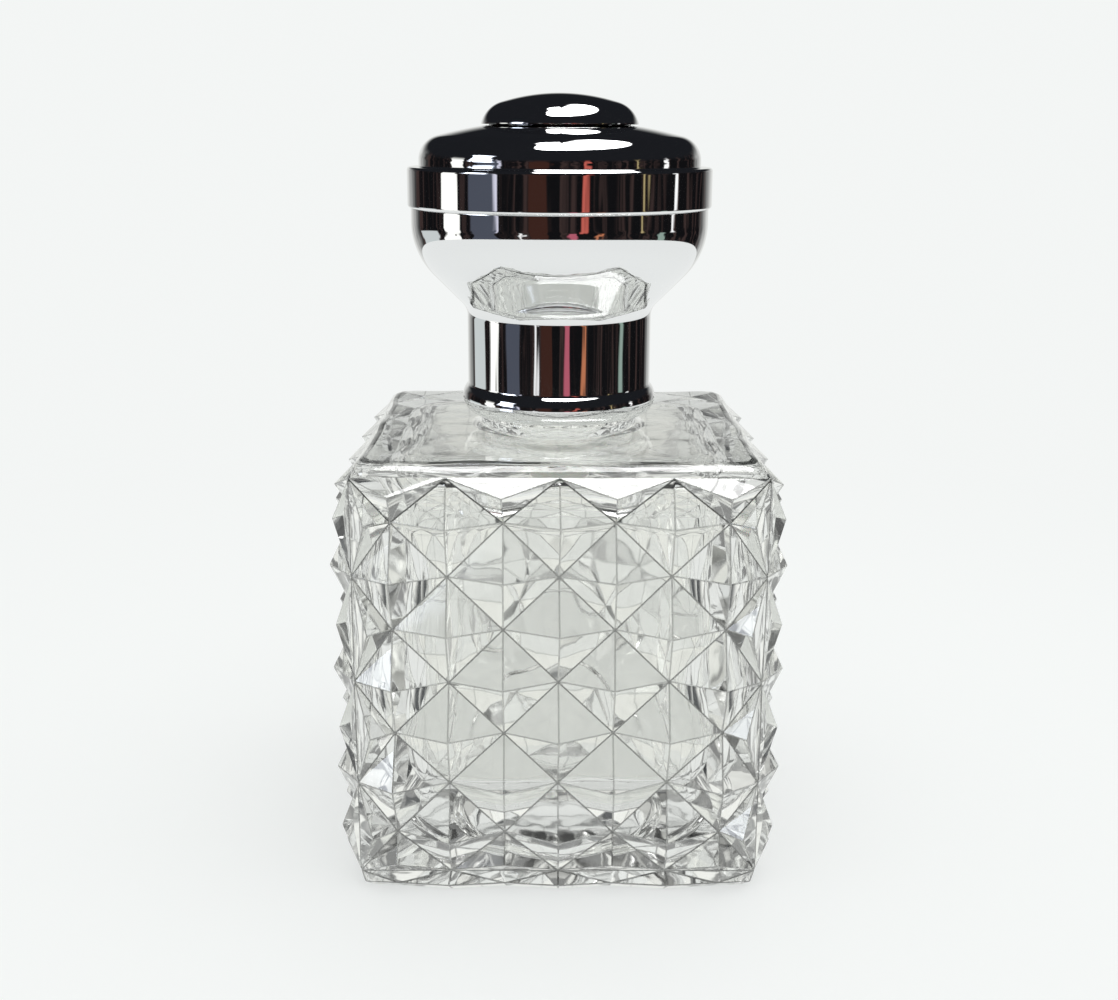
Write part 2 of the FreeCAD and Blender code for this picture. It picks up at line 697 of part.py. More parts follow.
def cap_knob(doc, sizes):
    """The domed knob on its short collar, hollow round a boss that takes the screw."""
    return turned_body(doc, "cap_knob", [
        ("axis", "pilot_top"),
        ("pilot_radius", "pilot_top"),
        ("pilot_radius", "boss_bottom"),
        ("knob_boss_radius", "boss_bottom"),
        ("knob_boss_radius", "hollow_top"),
        ("hollow_radius", "hollow_top"),
        ("hollow_radius", "seat"),
        ("collar_radius", "seat"),
        ("collar_radius", "knob_base"),
        ("knob_radius", "knob_base", ("knob_edge_radius", -1)),
        ("knob_crown_reach", "knob_crown_end", ("knob_crown_radius", -1)),
        ("axis", "knob_top"),
    ], sizes)


def knob_washer(doc, sizes):
    return turned_body(doc, "knob_washer", [
        ("washer_hole_radius", "screw_seat"),
        ("washer_radius", "screw_seat"),
        ("washer_radius", "lid_ceiling"),
        ("washer_hole_radius", "lid_ceiling"),
    ], sizes)


def knob_screw(doc, sizes):
    """A slotted screw that comes up through the lid, with a plain shank."""
    body = turned_body(doc, "knob_screw", [
        ("axis", "screw_head_bottom"),
        ("screw_head_radius", "screw_head_bottom"),
        ("screw_head_radius", "screw_seat"),
        ("screw_radius", "screw_seat"),
        ("screw_radius", "screw_tip"),
        ("axis", "screw_tip"),
    ], sizes)
    plain_volume = body.Shape.Volume
    sketch = new_sketch(body, "slot_plan", "XY_Plane")
    sketch.setExpression("AttachmentOffset.Base.z", "Derived.screw_head_bottom")
    draw_rectangle(sketch, "screw_slot_length", "screw_slot_width", sizes)
    slot = body.newObject("PartDesign::Pocket", "slot")
    slot.Profile = sketch
    slot.Reversed = True
    slot.setExpression("Length", "Dimensions.screw_slot_depth")
    body.Tip = slot
    doc.recompute()
    if body.Shape.Volume > plain_volume - sizes.number("screw_slot_depth"):
        raise RuntimeError("the screw's slot cut nothing")
    return body


# Build -----------------------------------------------------------------------------------------

PIECES = (glass_bottle, orifice_reducer, liner_face, liner_wad, threaded_closure,
          cap_bowl, cap_lid, cap_knob, knob_washer, knob_screw)


def check(doc, parts):
    for item in doc.Objects:
        if "Invalid" in item.State or "Error" in item.State:
            raise RuntimeError(f"{item.Name} failed: {item.State}")
    for part in parts:
        shape = part.Shape
        if shape.isNull() or not shape.isValid() or len(shape.Solids) != 1:
            raise RuntimeError(f"{part.Label} is not one valid solid")


def main():
    doc = FreeCAD.newDocument("aftershave_bottle")
    sizes = Sizes(*make_sheets(doc))
    parts = [make(doc, sizes) for make in PIECES]
    doc.recompute()
    check(doc, parts)
    os.makedirs("parts", exist_ok=True)
    for part in parts:
        part.Shape.exportStep(os.path.join("parts", part.Label + ".step"))
        box = part.Shape.optimalBoundingBox()
        print(f"{part.Label}: {part.Shape.Volume:.1f} mm3, z {box.ZMin:.3f} to {box.ZMax:.3f}, "
              f"x {box.XMin:.3f} to {box.XMax:.3f}")


main()
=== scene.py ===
"""Looks for the square aftershave bottle: clear diamond-point glass under a mirror-plated screw cap.

Sizes below are in millimetres, in the frame of the CAD model, and mesh code turns them into metres.
"""

import itertools
import math

import bmesh
import bpy
from mathutils import Euler, Matrix, Vector, noise

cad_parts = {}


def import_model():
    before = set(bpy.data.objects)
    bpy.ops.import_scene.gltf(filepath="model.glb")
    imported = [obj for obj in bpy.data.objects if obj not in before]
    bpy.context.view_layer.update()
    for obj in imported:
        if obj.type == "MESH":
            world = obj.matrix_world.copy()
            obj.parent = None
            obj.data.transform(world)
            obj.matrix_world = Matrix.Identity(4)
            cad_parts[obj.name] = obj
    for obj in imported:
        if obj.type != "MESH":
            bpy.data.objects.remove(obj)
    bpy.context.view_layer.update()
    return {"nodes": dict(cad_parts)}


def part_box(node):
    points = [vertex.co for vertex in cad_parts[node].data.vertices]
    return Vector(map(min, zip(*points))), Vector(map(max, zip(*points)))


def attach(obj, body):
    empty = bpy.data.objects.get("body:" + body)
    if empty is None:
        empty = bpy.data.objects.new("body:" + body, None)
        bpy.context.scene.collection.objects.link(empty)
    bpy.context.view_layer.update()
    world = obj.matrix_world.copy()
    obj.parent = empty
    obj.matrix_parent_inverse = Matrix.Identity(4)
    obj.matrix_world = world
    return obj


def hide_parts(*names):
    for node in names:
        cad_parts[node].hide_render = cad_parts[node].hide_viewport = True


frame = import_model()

MM = 0.001

# Sizes -------------------------------------------------------------------------------------------

CELLS = 4                    # diamonds across a face
AROUND = 160                 # steps round a turned piece
LONG_RUN = 1.0               # straight runs longer than this are held near their ends
HOLD = 0.1
LOOP = 128                   # steps round the cavity

BODY_HALF = 31.5             # to the valleys of a face
PATTERN_BOTTOM = 3.3
PATTERN_TOP = 67.9
EDGE_COLUMN_SHARE = 0.7
EDGE_ROW_SHARE = 0.8
RELIEF = 4.2
REACH = BODY_HALF + RELIEF   # to the points
EDGE_RELIEF = 3.1
EDGE_POINT_INSET = 2.4
FOOT_FLARE = 0.9
FOOT_CORNER = 0.5            # how far the foot's four corners are worn back
FOOT_CHAMFER = 1.0
RECESS_RADIUS = 23.0
RECESS_DEPTH = 1.0
RECESS_RIM = 1.5             # width of the recess's sloping rim
SHOULDER = 70.1
SHOULDER_RADIUS = 2.1
SHOULDER_CORNER = 2.5
SHOULDER_WAVE = 9.0
SHOULDER_DIP = 0.35
SHOULDER_STEPS = 7

CAVITY_HALF = 26.5
CAVITY_FLOOR = 13.0
CAVITY_ROOF = 64.6
CAVITY_CORNER = 9.0
CAVITY_RIM = 5.0             # rounding of the cavity's roof and floor edges
CAVITY_TURN_STEPS = 10
CAVITY_WALL_STEPS = 18

NECK_ROOT_RADIUS = 12.6
NECK_ROOT_TOP = 72.9
FINISH_RADIUS = 10.85
BORE_RADIUS = 8.2
MOUTH = 85.5
THREAD_START = 78.325
THREAD_PITCH = 3.175
THREAD_DEPTH = 1.1
THREAD_HALF = 0.62           # half the ridge's width at its foot
THREAD_FLANK = 0.34          # the part of that over which it rises
THREAD_RUN_OUTS = 16         # the ridge fades over a 16th of its one turn at each end
THREAD_ROWS = 64
LIP_EASE = 0.6
BORE_EASE = 1.6              # where the bore opens into the cavity

SKIRT_RADIUS = 15.2
SHELL_WALL = 1.2
CAP_BOTTOM = 72.4
BEAD_RADIUS = 16.1
BEAD_HEIGHT = 4.6
BEAD_CURVE = 2.9
BOWL_BLEND = 3.0
BOWL_RADIUS = 24.2
BOWL_ARC = 12.0
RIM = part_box("cap_bowl")[1][2] / MM
RIM_LAND = 2.3
LEDGE_RADIUS = 15.05

BAND_RADIUS = 24.7
BAND_HEIGHT = 6.4
BAND_EDGE = 0.5
DOME_RADIUS = 22.8
DOME_WALL = 1.0
DOME_EDGE = 4.0
CROWN_RADIUS = 78.0
SEAT_RADIUS = 12.0
SEAT_DEPTH = 0.3
LIP_DEPTH = 2.0

KNOB_RADIUS = 12.75
KNOB_HEIGHT = 4.9
KNOB_CROWN = 32.0
KNOB_CROWN_REACH = 9.5
KNOB_EDGE = 4.8
KNOB_GAP = 0.15
COLLAR_INSET = 1.35

FLOOR_RADIUS = 392.0
FLOOR_DROP = 0.05            # keeps the table clear of the foot

JITTER = 0.22                # how far pressing leaves the pattern's points off their places
JITTER_SIZE = 7.3
JITTER_SEED = 3              # unset, the noise vector would follow the clock
CREASE_WIDTH = 0.15          # how far the rounding of an edge reaches to either side
CAVITY_RIPPLE = 0.5
TOP_CREASE_SHADE = 1.0               # how strongly painted shade darkens the pattern's creases into lines
VALLEY_CREASE_SHADE = 0.88
RIDGE_CREASE_SHADE = 0.6


# Mesh helpers ------------------------------------------------------------------------------------

def arc(start, end, radius, side, steps=16):
    """Points of an arc after its start, up to and with its end. Side 1 bulges left of the way."""
    (r0, z0), (r1, z1) = start, end
    chord = math.hypot(r1 - r0, z1 - z0)
    height = math.sqrt(max(radius**2 - (chord / 2)**2, 0))
    left = (-(z1 - z0) / chord, (r1 - r0) / chord)
    centre = ((r0 + r1) / 2 - left[0] * side * height, (z0 + z1) / 2 - left[1] * side * height)
    a0 = math.atan2(z0 - centre[1], r0 - centre[0])
    a1 = math.atan2(z1 - centre[1], r1 - centre[0])
    turn = (a1 - a0 + math.pi) % (2 * math.pi) - math.pi
    return [(centre[0] + radius * math.cos(a0 + turn * k / steps),
             centre[1] + radius * math.sin(a0 + turn * k / steps)) for k in range(1, steps + 1)]


def along(points, index, step, distance):
    """The place that far along a line of points from one of them, and the next point beyond it."""
    place = Vector(points[index])
    while 0 <= index + step < len(points):
        following = Vector(points[index + step])
        gap = (following - place).length
        if gap > distance:
            return place.lerp(following, distance / gap), index + step
        distance -= gap
        place = following
        index += step
    return place, index + step


def softened(points, corners, steps=4):
    """A line of points with some corners eased. Corners maps a point's index to how far it is cut."""
    points = [tuple(point) for point in points]
    for index in sorted(corners, reverse=True):
        before, last = along(points, index, -1, corners[index])
        after, first = along(points, index, 1, corners[index])
        middle = Vector(points[index])
        eased = []
        for k in range(steps + 1):
            t = k / steps
            eased.append(tuple(before * (1 - t)**2 + middle * 2 * t * (1 - t) + after * t**2))
        points = points[:last + 1] + eased + points[first:]
    return points


class Outline:
    """A turned piece's outline in (radius, height): straight runs, arcs and eased corners."""

    def __init__(self, radius, height, ease=0.0):
        self.points = [(radius, height)]
        self.eased = {0: ease} if ease else {}

    def to(self, radius, height, ease=0.0):
        self.points.append((radius, height))
        if ease:
            self.eased[len(self.points) - 1] = ease
        return self

    def arc_to(self, radius, height, curve, side, ease=0.0, steps=16):
        self.points += arc(self.points[-1], (radius, height), curve, side, steps)
        if ease:
            self.eased[len(self.points) - 1] = ease
        return self

    def done(self):
        return softened(self.points, self.eased)


def new_object(name, mesh):
    piece = bpy.data.objects.new(name, mesh)
    bpy.context.scene.collection.objects.link(piece)
    return piece


def finish_mesh(bm, name, smooth_angle=35):
    """Turns a bmesh in millimetres into a smooth-shaded object in metres."""
    bmesh.ops.remove_doubles(bm, verts=bm.verts, dist=1e-4)
    bmesh.ops.recalc_face_normals(bm, faces=bm.faces)
    bmesh.ops.scale(bm, vec=(MM, MM, MM), verts=bm.verts)
    mesh = bpy.data.meshes.new(name)
    bm.to_mesh(mesh)
    bm.free()
    mesh.shade_smooth()
    mesh.set_sharp_from_angle(angle=math.radians(smooth_angle))
    return new_object(name, mesh)


def ring(bm, points):
    return [bm.verts.new(point) for point in points]


def join_rings(bm, lower, upper):
    count = len(lower)
    return [bm.faces.new((lower[k], lower[(k + 1) % count], upper[(k + 1) % count], upper[k]))
            for k in range(count)]


def circle(radius, height, count):
    return [(radius * math.cos(2 * math.pi * k / count), radius * math.sin(2 * math.pi * k / count), height)
            for k in range(count)]


def held(outline, closed):
    """Adds a point near each end of the long straight runs, so that their shading stays straight."""
    ends = outline[1:] + outline[:1] if closed else outline[1:]
    points = []
    for start, end in zip(outline, ends):
        points.append(start)
        length = math.dist(start, end)
        if length > LONG_RUN:
            near, far = Vector(start), Vector(end)
            points += [tuple(near.lerp(far, HOLD / length)), tuple(far.lerp(near, HOLD / length))]
    return points if closed else points + outline[-1:]


def climb(bm, below, levels):
    """Adds rings of points one above the other and joins each to the one before. Returns the last."""
    for points in levels:
        above = ring(bm, points)
        join_rings(bm, below, above)
        below = above
    return below


def turned(name, outline, closed=True):
    """Turns an outline round the Z axis. A closed one is a ring, an open one starts and ends on it."""
    bm = bmesh.new()
    rings = []
    for radius, height in held(outline, closed):
        if radius < 1e-6:
            rings.append([bm.verts.new((0, 0, height))])
        else:
            rings.append(ring(bm, circle(radius, height, AROUND)))
    pairs = list(zip(rings, rings[1:]))
    if closed:
        pairs.append((rings[-1], rings[0]))
    for lower, upper in pairs:
        if len(lower) == 1 or len(upper) == 1:
            tip, rim = (lower[0], upper) if len(lower) == 1 else (upper[0], lower)
            for k in range(AROUND):
                bm.faces.new((tip, rim[k], rim[(k + 1) % AROUND]))
        else:
            join_rings(bm, lower, upper)
    return finish_mesh(bm, name)


def settle(piece, body, nodes, material):
    """Gives a piece its body, the CAD nodes it stands for and its material."""
    piece.data.materials.clear()
    piece.data.materials.append(material)
    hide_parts(*nodes)
    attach(piece, body)


# Node helpers for materials ----------------------------------------------------------------------

def new_material(name, **values):
    material = bpy.data.materials.new(name)
    material.use_nodes = True
    shader = material.node_tree.nodes["Principled BSDF"]
    for key, value in values.items():
        shader.inputs[key.replace("_", " ")].default_value = value
    return material, material.node_tree, shader


def node(tree, kind, **settings):
    made = tree.nodes.new(kind)
    for key, value in settings.items():
        if key in made.inputs:
            made.inputs[key].default_value = value
        else:
            setattr(made, key, value)
    return made


def object_noise(tree, scale, detail=2.0, stretch=(1, 1, 1)):
    """Noise in the object's own space. Scale is in features per metre."""
    place = node(tree, "ShaderNodeTexCoord")
    mapping = node(tree, "ShaderNodeMapping")
    mapping.inputs["Scale"].default_value = stretch
    made = node(tree, "ShaderNodeTexNoise", Scale=scale, Detail=detail)
    tree.links.new(place.outputs["Object"], mapping.inputs["Vector"])
    tree.links.new(mapping.outputs["Vector"], made.inputs["Vector"])
    return made.outputs["Fac"]


def spread(tree, value, low, high):
    """Maps a 0 to 1 value onto a range."""
    made = node(tree, "ShaderNodeMapRange")
    made.inputs["To Min"].default_value = low
    made.inputs["To Max"].default_value = high
    tree.links.new(value, made.inputs["Value"])
    return made.outputs["Result"]


def maths(tree, operation, first, second=None):
    """A Math node on outputs or plain numbers."""
    made = node(tree, "ShaderNodeMath", operation=operation)
    for socket, value in zip(made.inputs, (first, second)):
        if isinstance(value, bpy.types.NodeSocket):
            tree.links.new(value, socket)
        elif value is not None:
            socket.default_value = value
    return made.outputs[0]


def soft_step(tree, value, low, high):
    """0 below low and 1 above high, eased between them. High may be the smaller."""
    made = node(tree, "ShaderNodeMapRange", interpolation_type="SMOOTHSTEP")
    made.inputs["From Min"].default_value = min(low, high)
    made.inputs["From Max"].default_value = max(low, high)
    made.inputs["To Min"].default_value = 0 if low < high else 1
    made.inputs["To Max"].default_value = 1 if low < high else 0
    tree.links.new(value, made.inputs["Value"])
    return made.outputs["Result"]


def blend(tree, share, first, second):
    """A mix of two colours, each an output or a plain colour."""
    made = node(tree, "ShaderNodeMix", data_type="RGBA")
    tree.links.new(share, made.inputs["Factor"])
    for socket, value in ((made.inputs[6], first), (made.inputs[7], second)):
        if isinstance(value, bpy.types.NodeSocket):
            tree.links.new(value, socket)
        else:
            socket.default_value = (*value, 1)
    return made.outputs[2]


def add_bump(tree, shader, height, distance, strength=1.0):
    bump = node(tree, "ShaderNodeBump", Strength=strength, Distance=distance)
    tree.links.new(height, bump.inputs["Height"])
    tree.links.new(bump.outputs["Normal"], shader.inputs["Normal"])


# Materials ---------------------------------------------------------------------------------------

GLASS_TINT = (0.905, 0.91, 0.89)
# the near-black painted shade laid along the glass's creases and the shoulder's edge
PAINTED_CREASE_SHADE = (0.02, 0.021, 0.02)
DEEP_GLOW = (0.13, 0.132, 0.13)            # stands for light that many inner reflections still carry
DEEP = 4.5                                 # and starts past this many of them

def clear_glass():
    """Flint glass, with the faint ripple that pressing leaves and a darker line of painted shade along the
    pattern's creases.
    """
    material, tree, shader = new_material(
        "clear_glass", Base_Color=(*GLASS_TINT, 1), Roughness=0.04, IOR=1.5, Transmission_Weight=1.0)
    # Painted shade: a face attribute blends the glass colour toward near black along the pattern's creases
    # and the shoulder's edge.
    crease_shade = node(tree, "ShaderNodeAttribute", attribute_name="crease_shade")
    tree.links.new(blend(tree, crease_shade.outputs["Fac"], GLASS_TINT, PAINTED_CREASE_SHADE), shader.inputs["Base Color"])
    # Painted glow: past DEEP inner reflections the glass itself emits light, though it is no lamp.
    shader.inputs["Emission Color"].default_value = (*DEEP_GLOW, 1)
    path = node(tree, "ShaderNodeLightPath")
    deep = maths(tree, "GREATER_THAN", path.outputs["Ray Depth"], DEEP)
    tree.links.new(deep, shader.inputs["Emission Strength"])
    add_bump(tree, shader, object_noise(tree, 160, 1.0), 0.00012, 0.6)
    return material


def mirror_plate():
    """Bright metallised plate over moulded plastic, with a trace of moulding ripple and wiping marks."""
    material, tree, shader = new_material(
        "mirror_plate", Base_Color=(0.84, 0.845, 0.85, 1), Metallic=1.0, Roughness=0.03)
    tree.links.new(spread(tree, object_noise(tree, 900, 3.0), 0.02, 0.05), shader.inputs["Roughness"])
    add_bump(tree, shader, object_noise(tree, 60, 0.0), 0.00003, 0.3)
    return material


def moulded_plastic(name, colour, roughness, softness=0.0):
    material, tree, shader = new_material(
        name, Base_Color=(*colour, 1), Roughness=roughness, Subsurface_Weight=softness)
    shader.inputs["Subsurface Scale"].default_value = 0.002
    grain = object_noise(tree, 2500, 2.0)
    tree.links.new(spread(tree, grain, roughness - 0.08, roughness + 0.08), shader.inputs["Roughness"])
    add_bump(tree, shader, grain, 0.00002, 0.4)
    return material


def plated_steel(name):
    material, tree, shader = new_material(
        name, Base_Color=(0.6, 0.6, 0.58, 1), Metallic=1.0, Roughness=0.3)
    brushed = object_noise(tree, 3000, 2.0, (1, 1, 0.1))
    tree.links.new(spread(tree, brushed, 0.2, 0.42), shader.inputs["Roughness"])
    return material


# Glass bottle ------------------------------------------------------------------------------------

def lattice(half_length, edge_share):
    """Places of the lattice's lines along one side of a face, counted from its middle."""
    half_cell = half_length / (CELLS - 1 + edge_share)
    inner = [k * half_cell for k in range(1 - CELLS, CELLS)]
    return [-half_length, *inner, half_length]


COLUMNS = lattice(BODY_HALF, EDGE_COLUMN_SHARE)
ROWS = [(PATTERN_BOTTOM + PATTERN_TOP) / 2 + place
        for place in lattice((PATTERN_TOP - PATTERN_BOTTOM) / 2, EDGE_ROW_SHARE)]


def face_triangles():
    """One face's diamonds as triangles of points (across, outward, up)."""
    last = 2 * CELLS
    inward = {0: EDGE_POINT_INSET, last: -EDGE_POINT_INSET}
    for column, row in itertools.product(range(last + 1), repeat=2):
        if (column + row) % 2 == 0:
            continue
        around = [(column - 1, row), (column, row - 1), (column + 1, row), (column, row + 1)]
        valleys = [(COLUMNS[c], 0, ROWS[r]) for c, r in around if 0 <= c <= last and 0 <= r <= last]
        if len(valleys) == len(around):
            tip = (COLUMNS[column], RELIEF, ROWS[row])
        else:
            tip = (COLUMNS[column] + inward.get(column, 0), EDGE_RELIEF, ROWS[row] + inward.get(row, 0))
        for k in range(len(valleys)):
            yield valleys[k - 1], valleys[k], tip


def foot_line(offset, height):
    """One face's share of a line round the foot, which swells below the diamond valleys."""
    points = []
    for k, place in enumerate(COLUMNS):
        swell = FOOT_FLARE if 0 < k < 2 * CELLS else -FOOT_CORNER
        out = offset if k % 2 else offset + swell
        points.append((place * (1 + out / BODY_HALF), out, height))
    return points


def foot_faces():
    widest, resting = foot_line(0, FOOT_CHAMFER), foot_line(-FOOT_CHAMFER, 0)
    for k in range(0, 2 * CELLS, 2):
        left, right = ((COLUMNS[place], 0, PATTERN_BOTTOM) for place in (k, k + 2))
        yield left, widest[k], widest[k + 1]
        yield left, widest[k + 1], right
        yield right, widest[k + 1], widest[k + 2]
    for k in range(2 * CELLS):
        yield widest[k], resting[k], resting[k + 1], widest[k + 1]


def placed(point, quarter):
    """A point of the front face, in (across, outward, up), on one of the four sides."""
    x, y = point[0], -BODY_HALF - point[1]
    for _ in range(quarter):
        x, y = -y, x
    return x, y, point[2]


def side_ring(points):
    """One face's points, without its last, repeated round the four sides."""
    return [placed(point, quarter) for quarter in range(4) for point in points[:-1]]


def fill_between(bm, outer, inner):
    """Fills the flat space between two rings of vertices."""
    edges = []
    for loop in (outer, inner):
        for k in range(len(loop)):
            pair = (loop[k - 1], loop[k])
            edges.append(bm.edges.get(pair) or bm.edges.new(pair))
    bmesh.ops.triangle_fill(bm, edges=edges, use_beauty=True)


def jacket(bm):
    """The diamond faces and the foot. Returns what finds or makes a vertex of them by its place."""
    noise.seed_set(JITTER_SEED)
    made = {}

    def vertex(point):
        key = tuple(round(value, 4) for value in point)
        if key not in made:
            moved = Vector(point)
            if PATTERN_BOTTOM < point[2] < PATTERN_TOP:
                moved += JITTER * noise.noise_vector(moved / JITTER_SIZE)
                moved.x = max(-REACH, min(REACH, moved.x))
                moved.y = max(-REACH, min(REACH, moved.y))
            made[key] = bm.verts.new(moved)
        return made[key]

    for quarter in range(4):
        for corners in itertools.chain(face_triangles(), foot_faces()):
            bm.faces.new([vertex(placed(point, quarter)) for point in corners])
    return vertex


def soften_creases(bm, edges, crease_shade):
    """Rounds the pattern's edges, and paints shade on the new strips: valleys as dark lines, ridges as
    fainter ones.
    """
    made = bmesh.ops.bevel(bm, geom=edges, offset=CREASE_WIDTH, offset_type="OFFSET", segments=2,
                           profile=0.5, affect="EDGES", clamp_overlap=True)
    for face in made["faces"]:
        middle = face.calc_center_median()
        depth = max(abs(middle.x), abs(middle.y)) - BODY_HALF
        near_top = middle.z > PATTERN_TOP - 5
        # Painted shade: each strip's glass colour is darkened, most along the valleys and the top row.
        face[crease_shade] = (TOP_CREASE_SHADE if near_top else VALLEY_CREASE_SHADE) if depth < 0.5 else RIDGE_CREASE_SHADE


def neck_outline():
    """The outside of the neck from the shoulder up to the thread's foot."""
    outline = Outline(NECK_ROOT_RADIUS + 2.2, SHOULDER)
    outline.arc_to(NECK_ROOT_RADIUS, SHOULDER + 1.5, 2.4, 1, steps=8)
    outline.to(NECK_ROOT_RADIUS, NECK_ROOT_TOP, 0.5)
    outline.to(FINISH_RADIUS, NECK_ROOT_TOP, 0.5)
    outline.to(FINISH_RADIUS, NECK_ROOT_TOP + 1.0)
    return outline.done()


def thread_height(angle, height):
    """How far the neck's one helical ridge stands out at a place on the finish."""
    share = angle / (2 * math.pi)
    middle = THREAD_START + THREAD_PITCH * share
    run_out = min(1.0, share * THREAD_RUN_OUTS, (1 - share) * THREAD_RUN_OUTS)
    flank = (THREAD_HALF - abs(height - middle)) / THREAD_FLANK
    return THREAD_DEPTH * (min(1.0, max(0.0, flank)) * run_out)


def rounded_square_ring(half, corner, height, ripple=0.0):
    """A rounded square as a ring of LOOP points, starting on +X."""
    points = []
    for k in range(LOOP):
        angle = 2 * math.pi * k / LOOP
        direction = Vector((math.cos(angle), math.sin(angle)))
        points.append(rounded_square_point(half, corner, direction))
    ring_points = []
    for point in points:
        if ripple:
            wave = noise.noise(Vector((point.x, point.y, height)) / 13.0)
            wave += 0.5 * noise.noise(Vector((point.y, height, point.x)) / 6.0)
            point = point * (1 + ripple * wave / half)
        ring_points.append((point.x, point.y, height))
    return ring_points


def rounded_square_point(half, corner, direction):
    """Where a ray from the centre meets a rounded square."""
    corner = min(corner, half)
    x, y = abs(direction.x), abs(direction.y)
    flat = half - corner
    reach = half / max(x, y)
    if min(x, y) * reach > flat:
        dot = flat * (x + y)
        reach = dot + math.sqrt(max(dot**2 - 2 * flat**2 + corner**2, 0))
    return direction * reach


def cavity_levels():
    """The cavity's rings from its roof to its floor, as (inset from the walls, height)."""
    low, high = CAVITY_FLOOR + CAVITY_RIM, CAVITY_ROOF - CAVITY_RIM
    turn = [math.pi / 2 * k / CAVITY_TURN_STEPS for k in range(CAVITY_TURN_STEPS + 1)]
    levels = [(CAVITY_RIM * (1 - math.sin(a)), CAVITY_ROOF - CAVITY_RIM * (1 - math.cos(a))) for a in turn]
    for k in range(1, CAVITY_WALL_STEPS):
        levels.append((0.0, high + (low - high) * k / CAVITY_WALL_STEPS))
    levels += [(CAVITY_RIM * (1 - math.cos(a)), low - CAVITY_RIM * math.sin(a)) for a in turn]
    return levels


def bridge(bm, lower, upper):
    """Joins two rings whose counts differ."""
    edges = [edge for edge in bm.edges if edge.is_boundary
             and (set(edge.verts) <= set(lower))]
    edges += [bm.edges.new((upper[k - 1], upper[k])) for k in range(len(upper))]
    bmesh.ops.bridge_loops(bm, edges=edges)


def shoulder(bm, below, crease_shade):
    """Rounds the body's top edge, which the pressing left gently wavy, and paints a wavy band of shade
    along its top rows. Returns the top ring.
    """
    for k in range(SHOULDER_STEPS + 1):
        a = math.pi / 2 * k / SHOULDER_STEPS
        half = BODY_HALF - 0.1 - SHOULDER_RADIUS * (1 - math.cos(a))
        height = SHOULDER - (SHOULDER_RADIUS - 0.05) * (1 - math.sin(a))
        above = []
        for x, y, _ in rounded_square_ring(half, SHOULDER_CORNER, 0):
            wave = noise.noise(Vector((x, y, 0)) / SHOULDER_WAVE)
            ease = math.sin(a)
            in_or_out = 1 + (0.022 * wave - 0.008) * ease
            fall = SHOULDER_DIP * ease * (0.5 + 0.5 * noise.noise(Vector((x, y, 40)) / SHOULDER_WAVE))
            above.append(bm.verts.new((x * in_or_out, y * in_or_out, height - fall)))
        if k == 0:
            bridge(bm, below, above)
        else:
            for face in join_rings(bm, below, above):
                # Painted shade: the top rows darken the glass colour in a wavy, noise-driven band.
                if k >= SHOULDER_STEPS - 1:
                    middle = face.calc_center_median() / SHOULDER_WAVE
                    face[crease_shade] = min(1.0, max(0.0, 0.75 + 1.2 * noise.noise(middle)))
        below = above
    return below


def base(bm, vertex):
    """The resting rim and the shallow recess inside it."""
    resting = [vertex(point) for point in side_ring(foot_line(-FOOT_CHAMFER, 0))]
    recess = ring(bm, circle(RECESS_RADIUS, 0, LOOP))
    fill_between(bm, resting, recess)
    slope = [(RECESS_RADIUS, 0), (RECESS_RADIUS - RECESS_RIM, RECESS_DEPTH * 0.7),
             (8, RECESS_DEPTH), (2, RECESS_DEPTH)]
    slope = softened(slope, {1: 0.8}, 3)[1:]
    bm.faces.new(climb(bm, recess, [circle(radius, height, LOOP) for radius, height in slope]))


def thread_levels(low, high):
    """The rings of the finish, with the thread's ridge standing out of them."""
    for k in range(1, THREAD_ROWS + 1):
        height = low + (high - low) * k / THREAD_ROWS
        points = []
        for step in range(LOOP):
            angle = 2 * math.pi * step / LOOP
            radius = FINISH_RADIUS + thread_height(angle, height)
            points.append((radius * math.cos(angle), radius * math.sin(angle), height))
        yield points


def lip_outline(low):
    """Over the mouth and down the bore to the cavity's roof."""
    lip = Outline(FINISH_RADIUS, low).to(FINISH_RADIUS, MOUTH, LIP_EASE).to(BORE_RADIUS, MOUTH, LIP_EASE)
    lip.to(BORE_RADIUS, MOUTH - 2).to(BORE_RADIUS, CAVITY_ROOF + 3)
    lip.to(BORE_RADIUS, CAVITY_ROOF, BORE_EASE).to(BORE_RADIUS + 2.5, CAVITY_ROOF)
    return lip.done()[1:]


def cavity(bm, below):
    """The inside of the glass, from the bore down to its closed floor."""
    walls = []
    for inset, height in cavity_levels():
        corner = max(CAVITY_CORNER - inset, 3.0)
        walls.append(rounded_square_ring(CAVITY_HALF - inset, corner, height, CAVITY_RIPPLE))
    halves = [(CAVITY_HALF - CAVITY_RIM) * share for share in (0.75, 0.5, 0.25)]
    bottom = [rounded_square_ring(half, half * 0.6, CAVITY_FLOOR) for half in halves]
    bm.faces.new(climb(bm, below, walls + bottom))


